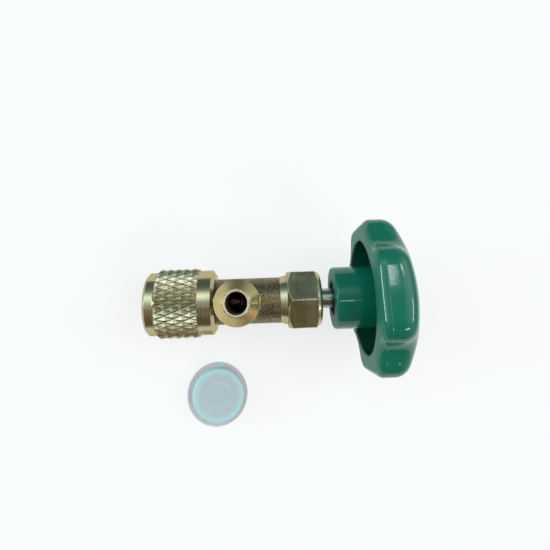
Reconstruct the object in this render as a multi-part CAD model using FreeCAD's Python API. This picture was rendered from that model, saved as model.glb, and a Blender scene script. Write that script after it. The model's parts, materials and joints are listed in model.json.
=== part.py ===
import FreeCAD, Part
import os
from math import asin, atan2, cos, degrees, hypot, pi, radians, sin, sqrt, tan

"""Refrigerant saving valve: a brass tee with a knurled swivel nut, a flare side port,
a gland nut, a threaded stem and a four-lobed plastic handwheel, with its loose dust cap.

Every piece is drawn in the valve's own frame, in millimetres: X runs along the bore from the
swivel nut to the handwheel, the side port points along +Z and X = 0 is the port's axis.
At the end the whole valve is laid down as it rests on a table: the rim of the knurl and one
flat pad of the handwheel touch the table, which is Z = 0 of the part's frame.
"""

Vec = FreeCAD.Vector
ORIGIN = Vec(0, 0, 0)
BORE_AXIS = Vec(1, 0, 0)
PORT_AXIS = Vec(0, 0, 1)

# Clearances that fits are made of
running_gap = 0.05
seat_gap = 0.02
end_play = 0.30

# Tee body, a hot forging that is turned at its three ends
forging_r = 5.80
neck_reach = 5.75
collar_r = 6.30
collar_length = 1.80
gland_seat_x = 12.30
port_boss_r = 5.05
port_boss_stand = 0.95
junction_fillet = 0.75
flash_height = 0.16
flash_wide = 1.70
flash_narrow = 0.40

# Side port, a male flare with a 7/16-20 thread
port_thread_r = 5.556
port_thread_length = 2.75
port_relief_r = 4.85
port_relief_length = 1.70
port_cone_tip_r = 3.30
port_bore_r = 2.64
port_countersink = 0.15

# Passages inside the body
flow_bore_r = 2.30
chamber_r = 4.10
chamber_back = 3.40
chamber_front = 3.20
seal_bore_x = 7.40
seal_bore_r = 4.20
gland_box_depth = 2.50
gland_box_wall = 0.75
gland_thread_r = 5.40
gland_spigot_length = 5.20

# Spigot that carries the swivel nut
spigot_r = 4.55
spigot_length = 9.20
nose_chamfer = 0.30
ring_wire_r = 0.50
ring_from_shoulder = 4.50
ring_split = 0.80

# Inlet gasket
gasket_r = 4.70
gasket_hole_r = 2.20
gasket_thickness = 1.30

# Knurled swivel nut, with a 7/16-20 thread inside
nut_length = 17.55
nut_thread_r = 4.95
nut_thread_relief_r = 5.75
nut_mouth_chamfer = 0.65
left_band_r = 8.05
left_band_length = 2.60
left_band_chamfer = 0.65
knurl_r = 8.86
knurl_length = 10.95
knurl_chamfer_left = 0.75
knurl_chamfer_right = 0.40
right_band_r = 8.22
right_band_chamfer = 0.75
knurl_depth = 0.56
knurl_starts = 32
knurl_axial_pitch = 4.20
knurl_phase_x = 0.55
knurl_phase_turn = 0.30

# Gland: a washer, a packing ring and a follower round the stem
gland_washer_thickness = 0.60
packing_thickness = 1.70
follower_thickness = 0.80

# Hexagonal packing nut
hex_across_flats = 14.00
packing_nut_length = 8.60
hex_land_length = 7.00
hex_entry_chamfer = 1.10
hex_entry_r = 6.90
boss_r = 6.95
boss_round = 1.30
boss_step = 0.35

# Stem
stem_r = 2.50
stem_pitch = 1.25
stem_thread_r = 3.90
stem_thread_x = 0.20
stem_thread_length = 7.50
stem_thread_chamfer = 0.50
stem_undercut_r = 3.20
stem_waist_r = 2.00
stem_waist_x = -1.20
stem_seal_collar_x = 9.70
stem_seal_collar_length = 3.20
pin_r = 1.10
pin_behind_gasket = 0.80
pin_root_cone = 0.90
hub_collar_r = 2.85
hub_collar_length = 0.80
drive_square = 3.60

# Stem seal
seal_groove_width = 1.60
seal_groove_depth = 1.20

# Handwheel
hub_gap = 3.10
hub_r = 7.90
hub_stand_out = 7.80
hub_round = 0.60
hub_recess_r = 4.60
hub_recess_depth = 1.40
wheel_reach = 19.10
lobe_half_width = 11.00
lobe_corner_r = 5.00
notch_r = 7.00
wheel_depth = 11.10
dome_flat_r = 11.0
dome_sphere_r = 40.0
wheel_back_round = 1.9
wheel_front_round = 4.4
back_slope_deg = 1.5
hollow_r = 14.60
hollow_draft = 0.80
hollow_floor_round = 1.50
web_thickness = 3.40
badge_recess_r = 6.00
badge_recess_depth = 3.30
wheel_turn_deg = -3.8

# Wheel screw and washer
washer_r = 3.60
washer_thickness = 0.50
washer_hole_gap = 0.30
screw_r = 1.20
screw_reach = 5.50
screw_head_r = 2.70
screw_head_height = 1.75
screw_dome = 0.45
cross_slot_width = 0.60
cross_slot_length = 3.00
cross_slot_depth = 1.00

# Dust cap of the side port, taken off
cap_flange_r = 8.10
cap_flange_thickness = 1.10
cap_wall = 1.20
cap_height = 3.80
cap_top_thickness = 1.00
cap_round = 0.50
cap_gate_ring_r = 3.30
cap_gate_ring_width = 0.25
cap_gate_ring_depth = 0.15
cap_along = 14.70
cap_aside = 24.00

# Positions along the bore that follow from the sizes
neck_x = -neck_reach
nose_x = neck_x - spigot_length
gasket_x = nose_x - gasket_thickness
nut_back_x = neck_x - end_play
nut_mouth_x = nut_back_x - nut_length
knurl_left_x = nut_mouth_x + left_band_length
knurl_right_x = knurl_left_x + knurl_length
ring_x = neck_x - ring_from_shoulder
gland_end_x = gland_seat_x + gland_spigot_length
gland_box_x = gland_end_x - gland_box_depth
gland_box_r = gland_thread_r - gland_box_wall
washer_end_x = gland_box_x + gland_washer_thickness
packing_end_x = washer_end_x + packing_thickness
follower_end_x = packing_end_x + follower_thickness
packing_nut_x = gland_seat_x + running_gap
packing_nut_end_x = packing_nut_x + packing_nut_length
hub_x = packing_nut_end_x + hub_gap
rim_x = hub_x + hub_stand_out
wheel_face_x = rim_x + wheel_depth
web_x = wheel_face_x - web_thickness
recess_floor_x = wheel_face_x - badge_recess_depth
hub_recess_x = hub_x + hub_recess_depth
seal_collar_end_x = stem_seal_collar_x + stem_seal_collar_length
seal_groove_x = stem_seal_collar_x + (stem_seal_collar_length - seal_groove_width) / 2
port_boss_z = forging_r + port_boss_stand
port_thread_root_z = port_boss_z + port_relief_length
port_thread_z = port_thread_root_z + port_thread_length
port_tip_z = port_thread_z + port_thread_r - port_cone_tip_r
pin_tip_x = gasket_x + pin_behind_gasket
seal_collar_r = seal_bore_r - running_gap
seal_groove_r = seal_collar_r - seal_groove_depth


def turned(profile):
    """Solid of revolution about the bore axis from (x, r) corners."""
    corners = [Vec(x, 0, r) for x, r in profile]
    outline = Part.makePolygon(corners + corners[:1])
    return Part.Face(outline).revolve(ORIGIN, BORE_AXIS, 360)


def rod(x_start, x_end, radius):
    """Cylinder on the bore axis."""
    return Part.makeCylinder(radius, x_end - x_start, Vec(x_start, 0, 0), BORE_AXIS)


def ring(x_start, x_end, outer_r, inner_r):
    """Flat ring on the bore axis."""
    return rod(x_start, x_end, outer_r).cut(rod(x_start - 1, x_end + 1, inner_r))


def torus_on_axis(x_centre, mean_r, section_r):
    """Ring of round section on the bore axis."""
    return Part.makeTorus(mean_r, section_r, Vec(x_centre, 0, 0), BORE_AXIS)


def circle_edges(shape, x_position, radius):
    """Edges of a turned shape that lie at one position and radius."""
    found = []
    for edge in shape.Edges:
        curve = edge.Curve
        if not isinstance(curve, Part.Circle):
            continue
        at_place = abs(curve.Center.x - x_position) < 1e-3 and abs(curve.Radius - radius) < 1e-3
        if at_place and abs(abs(curve.Axis.x) - 1) < 1e-6:
            found.append(edge)
    return found


def square_bar(x_start, x_end, side):
    """Square bar on the bore axis."""
    return Part.makeBox(x_end - x_start, side, side, Vec(x_start, -side / 2, -side / 2))


def forged_tee():
    """Outside of the forging before anything is bored or turned."""
    arm = rod(neck_x, gland_seat_x - collar_length, forging_r)
    boss = Part.makeCylinder(port_boss_r, port_boss_z, ORIGIN, PORT_AXIS)
    tee = arm.fuse(boss)
    crossing = [edge for edge in tee.Edges if not isinstance(edge.Curve, (Part.Circle, Part.Line))]
    return tee.makeFillet(junction_fillet, crossing)


def flash_strip(side, x_start, x_end, start_width, end_width):
    """Trimmed flash that stands along the parting plane, on the port side (1) or opposite (-1)."""
    z_low = side * (forging_r - flash_wide)
    corners = [
        Vec(x_start, -start_width / 2, z_low),
        Vec(x_end, -end_width / 2, z_low),
        Vec(x_end, end_width / 2, z_low),
        Vec(x_start, start_width / 2, z_low),
    ]
    outline = Part.makePolygon(corners + corners[:1])
    height = flash_wide + flash_height
    return Part.Face(outline).extrude(Vec(0, 0, side * height))


def side_port():
    """Turned flare end of the side port, standing on the forged boss."""
    root_chamfer = port_thread_r - port_relief_r
    profile = [
        (0, 0),
        (port_relief_r, 0),
        (port_relief_r, port_thread_root_z - root_chamfer),
        (port_thread_r, port_thread_root_z),
        (port_thread_r, port_thread_z),
        (port_cone_tip_r, port_tip_z),
        (0, port_tip_z),
    ]
    corners = [Vec(r, 0, z) for r, z in profile]
    outline = Part.makePolygon(corners + corners[:1])
    return Part.Face(outline).revolve(ORIGIN, PORT_AXIS, 360)


def body_passages():
    """Everything that is bored out of the body."""
    flow = rod(nose_x - 1, 0, flow_bore_r)
    chamber = rod(-chamber_back, chamber_front, chamber_r)
    thread_bore = rod(chamber_front, seal_bore_x, stem_thread_r + running_gap)
    seal_bore = rod(seal_bore_x, gland_end_x, seal_bore_r)
    gland_box = rod(gland_box_x, gland_end_x + 1, gland_box_r)
    port_bore = Part.makeCylinder(port_bore_r, port_tip_z + 1, ORIGIN, PORT_AXIS)
    mouth = Part.makeCone(
        port_bore_r, port_bore_r + 2 * port_countersink, 2 * port_countersink,
        Vec(0, 0, port_tip_z - port_countersink), PORT_AXIS)
    return flow.fuse([chamber, thread_bore, seal_bore, gland_box, port_bore, mouth])


def valve_body():
    """Forged and turned brass tee."""
    collar_x = gland_seat_x - collar_length
    spigot = turned([
        (nose_x, 0),
        (nose_x, spigot_r - nose_chamfer),
        (nose_x + nose_chamfer, spigot_r),
        (neck_x, spigot_r),
        (neck_x, 0),
    ])
    gland_spigot = rod(gland_seat_x, gland_end_x, gland_thread_r)
    collar = turned([
        (collar_x, 0),
        (collar_x, forging_r + running_gap),
        (gland_seat_x, collar_r),
        (gland_seat_x, 0),
    ])
    front_flash = flash_strip(1, forging_r, collar_x, flash_wide, flash_narrow)
    back_flash = flash_strip(-1, -port_boss_r, collar_x, flash_narrow, flash_narrow)
    solid = forged_tee().fuse([spigot, gland_spigot, collar, front_flash, back_flash, side_port()])
    ring_groove = ring(
        ring_x - ring_wire_r - seat_gap, ring_x + ring_wire_r + seat_gap,
        spigot_r + 1, spigot_r + running_gap / 2 - ring_wire_r - seat_gap)
    return solid.cut([body_passages(), ring_groove]).removeSplitter()


def nut_retaining_ring():
    """Split wire ring, half in the spigot's groove and half in the nut's."""
    wire = torus_on_axis(ring_x, spigot_r + running_gap / 2, ring_wire_r)
    split_depth = 4 * ring_wire_r
    split = Part.makeBox(
        split_depth, ring_split, split_depth,
        Vec(ring_x - split_depth / 2, -ring_split / 2, -spigot_r - split_depth / 2))
    return wire.cut(split)


def inlet_gasket():
    """Rubber face seal on the spigot's nose."""
    return ring(gasket_x, nose_x, gasket_r, gasket_hole_r)


def knurl_point(column, step, crest):
    """Corner of the knurl: a pyramid's tip where crest is true, or a crossing of two grooves."""
    radius = knurl_r if crest else knurl_r - knurl_depth
    angle = (step + 2 * knurl_phase_turn) * pi / knurl_starts
    x = knurl_left_x + (column - knurl_phase_x) * knurl_axial_pitch / 2
    return Vec(x, radius * sin(angle), radius * cos(angle))


def knurled_bar():
    """Bar covered with the four-sided pyramids that two crossing sets of helical grooves leave."""
    columns = int(knurl_length / (knurl_axial_pitch / 2)) + 3
    steps = 2 * knurl_starts
    grid = [
        [knurl_point(column, step, (column + step) % 2 == 1) for step in range(steps)]
        for column in range(columns)
    ]
    faces = []
    for column in range(columns - 1):
        for step in range(steps):
            here = grid[column][step]
            above = grid[column][(step + 1) % steps]
            right = grid[column + 1][step]
            across = grid[column + 1][(step + 1) % steps]
            crest_here = (column + step) % 2 == 1
            groove = (above, right) if crest_here else (here, across)
            for crest in ((here, across) if crest_here else (above, right)):
                faces.append(Part.Face(Part.makePolygon([crest, groove[0], groove[1], crest])))
    for end in (grid[0], grid[-1]):
        faces.append(Part.Face(Part.makePolygon(end + end[:1])))
    shell = Part.Shell(faces)
    shell.sewShape()
    return Part.Solid(shell)


def coupling_nut():
    """Knurled swivel nut with its thread, gasket recess, back bore and ring groove."""
    root_r = knurl_r - knurl_depth
    envelope = turned([
        (knurl_left_x, 0),
        (knurl_left_x, left_band_r),
        (knurl_left_x + knurl_chamfer_left, knurl_r + seat_gap),
        (knurl_right_x - knurl_chamfer_right, knurl_r + seat_gap),
        (knurl_right_x, right_band_r),
        (knurl_right_x, 0),
    ])
    core = turned([
        (nut_mouth_x, 0),
        (nut_mouth_x, left_band_r - left_band_chamfer),
        (nut_mouth_x + left_band_chamfer, left_band_r),
        (knurl_left_x, left_band_r),
        (knurl_left_x + knurl_chamfer_left / 2, (left_band_r + root_r) / 2),
        (knurl_right_x - knurl_chamfer_right / 2, (right_band_r + root_r) / 2),
        (knurl_right_x, right_band_r),
        (nut_back_x - right_band_chamfer, right_band_r),
        (nut_back_x, right_band_r - right_band_chamfer * 1.5),
        (nut_back_x, 0),
    ])
    recess_back_x = nose_x + 4 * end_play
    recess_front_x = gasket_x - end_play
    back_bore_r = spigot_r + running_gap
    bore = turned([
        (nut_mouth_x - 1, 0),
        (nut_mouth_x - 1, nut_thread_r + nut_mouth_chamfer + 1),
        (nut_mouth_x + nut_mouth_chamfer, nut_thread_r),
        (recess_front_x, nut_thread_r),
        (recess_front_x, nut_thread_relief_r),
        (recess_back_x, nut_thread_relief_r),
        (recess_back_x, back_bore_r),
        (nut_back_x + 1, back_bore_r),
        (nut_back_x + 1, 0),
    ])
    ring_groove = rod(
        ring_x - ring_wire_r - running_gap, ring_x + ring_wire_r + running_gap,
        spigot_r + running_gap / 2 + ring_wire_r + running_gap)
    return knurled_bar().common(envelope).fuse(core).cut([bore, ring_groove])


def gland_washer():
    """Metal washer at the bottom of the packing box."""
    return ring(gland_box_x, washer_end_x, gland_box_r - seat_gap, stem_r + running_gap)


def stem_packing():
    """Soft packing ring that seals the stem."""
    return ring(washer_end_x, packing_end_x, gland_box_r - seat_gap, stem_r + running_gap)


def gland_follower():
    """Brass ring that the packing nut pushes against the packing."""
    return ring(packing_end_x, follower_end_x, gland_box_r - seat_gap, stem_r + running_gap)


def packing_nut():
    """Hexagonal gland nut with a turned, rounded boss round the stem."""
    corner_r = hex_across_flats / sqrt(3)
    corners = [Vec(packing_nut_x, corner_r * sin(k * pi / 3), corner_r * cos(k * pi / 3)) for k in range(6)]
    outline = Part.makePolygon(corners + corners[:1])
    land_end_x = packing_nut_x + hex_land_length
    hexagon = Part.Face(outline).extrude(Vec(hex_land_length + boss_step, 0, 0))
    chamfers = turned([
        (packing_nut_x, 0),
        (packing_nut_x, hex_entry_r),
        (packing_nut_x + hex_entry_chamfer, corner_r),
        (land_end_x, corner_r),
        (land_end_x + boss_step, boss_r),
        (land_end_x + boss_step, 0),
    ])
    boss = rod(packing_nut_x + hex_entry_chamfer, packing_nut_end_x, boss_r)
    boss = boss.makeFillet(boss_round, circle_edges(boss, packing_nut_end_x, boss_r))
    thread = rod(packing_nut_x - 1, follower_end_x, gland_thread_r + running_gap)
    stem_hole = rod(packing_nut_x, packing_nut_end_x + 1, stem_r + running_gap)
    return hexagon.common(chamfers).fuse(boss).cut([thread, stem_hole]).removeSplitter()


def valve_stem():
    """Steel stem: the pin that opens the core, the thread, the seal collar and the wheel's square."""
    thread_end_x = stem_thread_x + stem_thread_length
    square_end_x = recess_floor_x - running_gap
    spindle = turned([
        (pin_tip_x, 0),
        (pin_tip_x, pin_r / 2),
        (pin_tip_x + pin_r / 2, pin_r),
        (stem_waist_x - pin_root_cone, pin_r),
        (stem_waist_x, stem_waist_r),
        (stem_thread_x, stem_waist_r),
        (stem_thread_x, stem_thread_r - stem_thread_chamfer),
        (stem_thread_x + stem_thread_chamfer, stem_thread_r),
        (thread_end_x - stem_thread_chamfer, stem_thread_r),
        (thread_end_x, stem_undercut_r),
        (stem_seal_collar_x, stem_undercut_r),
        (stem_seal_collar_x, seal_collar_r),
        (seal_groove_x, seal_collar_r),
        (seal_groove_x, seal_groove_r),
        (seal_groove_x + seal_groove_width, seal_groove_r),
        (seal_groove_x + seal_groove_width, seal_collar_r),
        (seal_collar_end_x, seal_collar_r),
        (seal_collar_end_x, stem_r),
        (hub_recess_x - hub_collar_length, stem_r),
        (hub_recess_x - hub_collar_length, hub_collar_r),
        (hub_recess_x, hub_collar_r),
        (hub_recess_x, 0),
    ])
    drive = rod(hub_recess_x, square_end_x, stem_r).common(
        square_bar(hub_recess_x, square_end_x, drive_square))
    drive.rotate(ORIGIN, BORE_AXIS, wheel_turn_deg)
    screw_hole = rod(
        square_end_x - screw_reach - end_play, square_end_x + 1, screw_r + running_gap)
    return spindle.fuse(drive).cut(screw_hole)


def stem_o_ring():
    """Rubber ring in the stem's groove."""
    section_r = seal_groove_depth / 2
    return torus_on_axis(
        seal_groove_x + seal_groove_width / 2, seal_groove_r + section_r + running_gap / 2, section_r)


def lobed_outline(x):
    """Face in the shape of the handwheel seen along its axis: four broad lobes and round notches.

    Each corner arc meets the notch's arc where the line between their centres crosses both.
    """
    corner_y = lobe_half_width - lobe_corner_r
    corner_z = wheel_reach - lobe_corner_r
    half_gap = (corner_z - corner_y) / 2
    notch_y = (corner_y + corner_z) / 2 + sqrt((lobe_corner_r + notch_r) ** 2 / 2 - half_gap ** 2)
    meeting = atan2(notch_y - corner_z, notch_y - corner_y)
    diagonal = pi / 4

    def at(centre_y, centre_z, radius, direction, quarter):
        y = centre_y + radius * cos(direction)
        z = centre_z + radius * sin(direction)
        angle = -quarter * pi / 2
        return Vec(x, y * cos(angle) - z * sin(angle), y * sin(angle) + z * cos(angle))

    edges = []
    for quarter in range(4):
        pad_start = at(-corner_y, corner_z, lobe_corner_r, pi / 2, quarter)
        pad_end = at(corner_y, corner_z, lobe_corner_r, pi / 2, quarter)
        corner_mid = at(corner_y, corner_z, lobe_corner_r, (pi / 2 + meeting) / 2, quarter)
        notch_start = at(corner_y, corner_z, lobe_corner_r, meeting, quarter)
        notch_mid = at(notch_y, notch_y, notch_r, diagonal + pi, quarter)
        notch_end = at(corner_z, corner_y, lobe_corner_r, pi / 2 - meeting, quarter)
        next_mid = at(corner_z, corner_y, lobe_corner_r, (pi / 2 - meeting) / 2, quarter)
        next_pad = at(corner_z, corner_y, lobe_corner_r, 0, quarter)
        edges.append(Part.makeLine(pad_start, pad_end))
        edges.append(Part.Arc(pad_end, corner_mid, notch_start).toShape())
        edges.append(Part.Arc(notch_start, notch_mid, notch_end).toShape())
        edges.append(Part.Arc(notch_end, next_mid, next_pad).toShape())
    return Part.Face(Part.Wire(Part.__sortEdges__(edges)))


def wheel_dome():
    """Ball whose flattened front gives the handwheel its domed outer side."""
    centre_x = wheel_face_x - sqrt(dome_sphere_r ** 2 - dome_flat_r ** 2)
    ball = Part.makeSphere(dome_sphere_r, Vec(centre_x, 0, 0), BORE_AXIS)
    return ball.common(rod(centre_x - dome_sphere_r, wheel_face_x, dome_sphere_r))


def wheel_back():
    """Solid whose back is flat up to the hollow and slopes forward outside it, as the lobes do."""
    outer_r = 2 * wheel_reach
    slope_depth = (outer_r - hollow_r) * tan(radians(back_slope_deg))
    return turned([
        (rim_x, 0),
        (rim_x, hollow_r),
        (rim_x + slope_depth, outer_r),
        (wheel_face_x + slope_depth, outer_r),
        (wheel_face_x + slope_depth, 0),
    ])


def wheel_hollow():
    """Round hollow behind the handwheel's web, round the hub."""
    floor_r = hollow_r - hollow_draft
    hollow = turned([
        (rim_x - 1, 0),
        (rim_x - 1, hollow_r),
        (rim_x, hollow_r),
        (web_x, floor_r),
        (web_x, 0),
    ])
    hollow = hollow.makeFillet(hollow_floor_round, circle_edges(hollow, web_x, floor_r))
    return hollow.cut(rod(rim_x - 2, web_x + 1, hub_r))


def handwheel():
    """Moulded four-lobed wheel with its hub, hollow back and screw recess."""
    bar = lobed_outline(rim_x).extrude(Vec(wheel_depth, 0, 0))
    blank = bar.common(wheel_dome()).common(wheel_back())
    blank = blank.makeFillet(wheel_front_round, rim_edges(blank, True))
    blank = blank.makeFillet(wheel_back_round, rim_edges(blank, False))
    hub = rod(hub_x, web_x + web_thickness / 2, hub_r)
    hub = hub.makeFillet(hub_round, circle_edges(hub, hub_x, hub_r))
    wheel = blank.cut(wheel_hollow()).fuse(hub)
    hub_recess = rod(hub_x - 1, hub_recess_x, hub_recess_r)
    screw_recess = rod(recess_floor_x, wheel_face_x + 1, badge_recess_r)
    square = square_bar(hub_x, wheel_face_x, drive_square + 2 * running_gap)
    wheel = wheel.cut([hub_recess, screw_recess, square])
    wheel.rotate(ORIGIN, BORE_AXIS, wheel_turn_deg)
    return wheel


def rim_edges(blank, front):
    """Edges round the lobes where the handwheel's front, or its back, meets the side."""
    middle_x = rim_x + wheel_depth / 2
    found = []
    for edge in blank.Edges:
        curve = edge.Curve
        if isinstance(curve, Part.Circle) and hypot(curve.Center.y, curve.Center.z) < 1e-3:
            continue
        box = edge.BoundBox
        if (box.XMin > middle_x) if front else (box.XMax < middle_x):
            found.append(edge)
    return found


def wheel_washer():
    """Plain washer under the wheel screw."""
    return ring(recess_floor_x, recess_floor_x + washer_thickness, washer_r, screw_r + washer_hole_gap)


def wheel_screw():
    """Domed cross-recess screw that holds the wheel on the stem."""
    head_x = recess_floor_x + washer_thickness
    rim_height = screw_head_height - screw_dome
    top_x = head_x + screw_head_height
    shank_end_x = recess_floor_x - running_gap - screw_reach
    dome = Part.Arc(
        Vec(head_x + rim_height, 0, screw_head_r),
        Vec(top_x - screw_dome * 0.25, 0, screw_head_r / 2),
        Vec(top_x, 0, 0)).toShape()
    corners = [
        Vec(top_x, 0, 0),
        Vec(shank_end_x, 0, 0),
        Vec(shank_end_x, 0, screw_r),
        Vec(head_x, 0, screw_r),
        Vec(head_x, 0, screw_head_r),
        Vec(head_x + rim_height, 0, screw_head_r),
    ]
    lines = [Part.makeLine(a, b) for a, b in zip(corners, corners[1:])]
    screw = Part.Face(Part.Wire(lines + [dome])).revolve(ORIGIN, BORE_AXIS, 360)
    half_width = cross_slot_width / 2
    half_length = cross_slot_length / 2
    slot = Part.makeBox(
        cross_slot_depth + 1, cross_slot_width, cross_slot_length,
        Vec(top_x - cross_slot_depth, -half_width, -half_length))
    other = Part.makeBox(
        cross_slot_depth + 1, cross_slot_length, cross_slot_width,
        Vec(top_x - cross_slot_depth, -half_length, -half_width))
    return screw.cut([slot, other])


def dust_cap():
    """Moulded push-on cap for the flare port, standing on its flange at the origin."""
    skirt_r = port_thread_r + running_gap + cap_wall
    bore_r = port_thread_r + running_gap
    cap = Part.makeCylinder(skirt_r, cap_height)
    top_edges = [edge for edge in cap.Edges if edge.BoundBox.ZMin > cap_height - 1e-3]
    cap = cap.makeFillet(cap_round, top_edges)
    cap = cap.fuse(Part.makeCylinder(cap_flange_r, cap_flange_thickness))
    cap = cap.cut(Part.makeCylinder(bore_r, cap_height - cap_top_thickness))
    groove_z = cap_height - cap_gate_ring_depth
    groove = Part.makeCylinder(cap_gate_ring_r, 1, Vec(0, 0, groove_z)).cut(
        Part.makeCylinder(cap_gate_ring_r - cap_gate_ring_width, 1, Vec(0, 0, groove_z)))
    return cap.cut(groove)


def resting_tilt():
    """Angle by which the bore rises towards the handwheel when the valve lies on a table.

    The table touches the knurl's rim and the round back edge of a wheel pad.
    """
    knurl_rim_x = knurl_left_x + knurl_chamfer_left
    slope = radians(back_slope_deg)
    round_r = wheel_reach - wheel_back_round
    round_x = rim_x + (round_r - hollow_r) * tan(slope) + wheel_back_round / cos(slope)
    run = round_x - knurl_rim_x
    rise = round_r - knurl_r
    return asin(wheel_back_round / hypot(run, rise)) + atan2(rise, run)


def resting_placement(shapes):
    """Placement that lays the valve on the table with a wheel pad flat across it."""
    roll = FreeCAD.Rotation(BORE_AXIS, -wheel_turn_deg)
    tilt = FreeCAD.Rotation(Vec(0, 1, 0), -degrees(resting_tilt()))
    turn = tilt.multiply(roll)
    lying = FreeCAD.Placement(ORIGIN, turn)
    lowest = min(lying_box(shape, lying).ZMin for shape in shapes)
    return FreeCAD.Placement(Vec(0, 0, -lowest), turn)


def lying_box(shape, placement):
    """Exact bounding box of a shape after a placement."""
    moved = shape.copy()
    moved.Placement = placement.multiply(moved.Placement)
    return moved.optimalBoundingBox(False)


def cap_placement(valve_placement):
    """Place of the cap on the table, beside the knurled nut."""
    rim = valve_placement.multVec(Vec(knurl_left_x + knurl_chamfer_left, 0, 0))
    return FreeCAD.Placement(Vec(rim.x + cap_along, rim.y - cap_aside, 0), FreeCAD.Rotation())


def settled(valve_pieces, cap):
    """All pieces as they lie, with the origin under the middle of the whole."""
    lying = resting_placement(valve_pieces.values())
    placed = {}
    for name, shape in valve_pieces.items():
        placed[name] = shape.copy()
        placed[name].Placement = lying.multiply(placed[name].Placement)
    placed["dust_cap"] = cap.copy()
    placed["dust_cap"].Placement = cap_placement(lying)
    boxes = [shape.optimalBoundingBox(False) for shape in placed.values()]
    middle_x = (min(box.XMin for box in boxes) + max(box.XMax for box in boxes)) / 2
    middle_y = (min(box.YMin for box in boxes) + max(box.YMax for box in boxes)) / 2
    centring = FreeCAD.Placement(Vec(-middle_x, -middle_y, 0), FreeCAD.Rotation())
    for shape in placed.values():
        shape.Placement = centring.multiply(shape.Placement)
    return placed, centring.multiply(lying)


def report_places(placement):
    """Print the points and directions that the mounts and joints use, in metres."""
    points = {
        "inlet_thread": Vec((nut_mouth_x + nut_mouth_chamfer + gasket_x - end_play) / 2, 0, 0),
        "side_port": Vec(0, 0, (port_thread_root_z + port_thread_z) / 2),
        "nut_centre": Vec((nut_mouth_x + nut_back_x) / 2, 0, 0),
        "wheel_centre": Vec(web_x, 0, 0),
    }
    for name, point in points.items():
        place = placement.multVec(point)
        print(name, [round(value / 1000, 9) for value in (place.x, place.y, place.z)])
    for name, direction in (("bore_axis", BORE_AXIS), ("port_axis", PORT_AXIS)):
        turned_axis = placement.Rotation.multVec(direction)
        print(name, [round(value, 12) for value in (turned_axis.x, turned_axis.y, turned_axis.z)])
    print("tilt_deg", round(degrees(resting_tilt()), 4))
    print("inlet_thread_length_mm", round(gasket_x - end_play - nut_mouth_x - nut_mouth_chamfer, 6))


def main():
    """Build every piece, lay the valve down and write one STEP file per piece."""
    os.makedirs("parts", exist_ok=True)
    valve_pieces = {
        "valve_body": valve_body(),
        "coupling_nut": coupling_nut(),
        "nut_retaining_ring": nut_retaining_ring(),
        "inlet_gasket": inlet_gasket(),
        "valve_stem": valve_stem(),
        "stem_o_ring": stem_o_ring(),
        "gland_washer": gland_washer(),
        "stem_packing": stem_packing(),
        "gland_follower": gland_follower(),
        "packing_nut": packing_nut(),
        "handwheel": handwheel(),
        "wheel_washer": wheel_washer(),
        "wheel_screw": wheel_screw(),
    }
    placed, placement = settled(valve_pieces, dust_cap())
    report_places(placement)
    for name, shape in placed.items():
        shape.exportStep("parts/" + name + ".step")


main()
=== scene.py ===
"""Looks of a refrigerant saving valve: brass tee, knurled nut, hexagon nut, handwheel and cap.

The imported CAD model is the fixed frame. CAD nodes whose shape is right keep their own mesh and
only get a finish. Four pieces are replaced by copies of themselves: in the tee, the swivel nut
and the stem the plain thread cylinder gives way to a real helical thread, and the hexagon of the
packing nut gets the rounded corners of drawn bar.

Sizes are millimetres in the valve's own frame, where X runs along the bore from the knurled nut
to the handwheel, Z runs out of the side port, and X = 0 is the port's axis.
"""

from __future__ import annotations

import json
import logging
import math
from collections.abc import Callable
from dataclasses import dataclass
from enum import Enum

import bmesh
import bpy
from mathutils import Matrix, Quaternion, Vector

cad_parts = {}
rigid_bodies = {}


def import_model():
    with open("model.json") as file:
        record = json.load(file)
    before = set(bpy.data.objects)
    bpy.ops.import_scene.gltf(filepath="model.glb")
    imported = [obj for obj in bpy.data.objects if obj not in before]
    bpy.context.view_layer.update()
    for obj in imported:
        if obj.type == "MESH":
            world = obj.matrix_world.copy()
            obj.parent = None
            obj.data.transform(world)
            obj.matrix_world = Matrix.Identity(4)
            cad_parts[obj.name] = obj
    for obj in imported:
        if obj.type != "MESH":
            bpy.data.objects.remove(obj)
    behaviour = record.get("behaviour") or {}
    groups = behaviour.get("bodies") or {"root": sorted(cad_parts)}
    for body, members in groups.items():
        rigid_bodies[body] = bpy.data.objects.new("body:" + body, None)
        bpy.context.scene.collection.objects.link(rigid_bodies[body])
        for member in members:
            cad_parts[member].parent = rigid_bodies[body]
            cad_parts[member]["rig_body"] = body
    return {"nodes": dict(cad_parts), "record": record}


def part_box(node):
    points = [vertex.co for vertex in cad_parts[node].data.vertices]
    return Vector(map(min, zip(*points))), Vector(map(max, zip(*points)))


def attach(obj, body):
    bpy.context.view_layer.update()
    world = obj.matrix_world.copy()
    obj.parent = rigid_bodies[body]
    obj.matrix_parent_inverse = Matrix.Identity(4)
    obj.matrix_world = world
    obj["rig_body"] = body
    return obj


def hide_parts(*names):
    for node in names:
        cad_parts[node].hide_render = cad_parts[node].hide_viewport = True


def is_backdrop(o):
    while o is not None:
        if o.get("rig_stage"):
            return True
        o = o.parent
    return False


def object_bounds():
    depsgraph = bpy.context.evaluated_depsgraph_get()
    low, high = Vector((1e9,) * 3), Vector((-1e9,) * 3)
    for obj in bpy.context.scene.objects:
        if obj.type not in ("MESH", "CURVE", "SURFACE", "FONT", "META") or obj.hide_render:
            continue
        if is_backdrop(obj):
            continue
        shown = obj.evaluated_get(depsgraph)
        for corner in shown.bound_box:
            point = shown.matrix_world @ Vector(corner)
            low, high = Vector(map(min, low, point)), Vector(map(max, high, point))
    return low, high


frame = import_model()

LOG = logging.getLogger("valve")
MM = 0.001
IMAGE_PIXELS = 550
SENSOR_MM = 36.0
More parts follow.
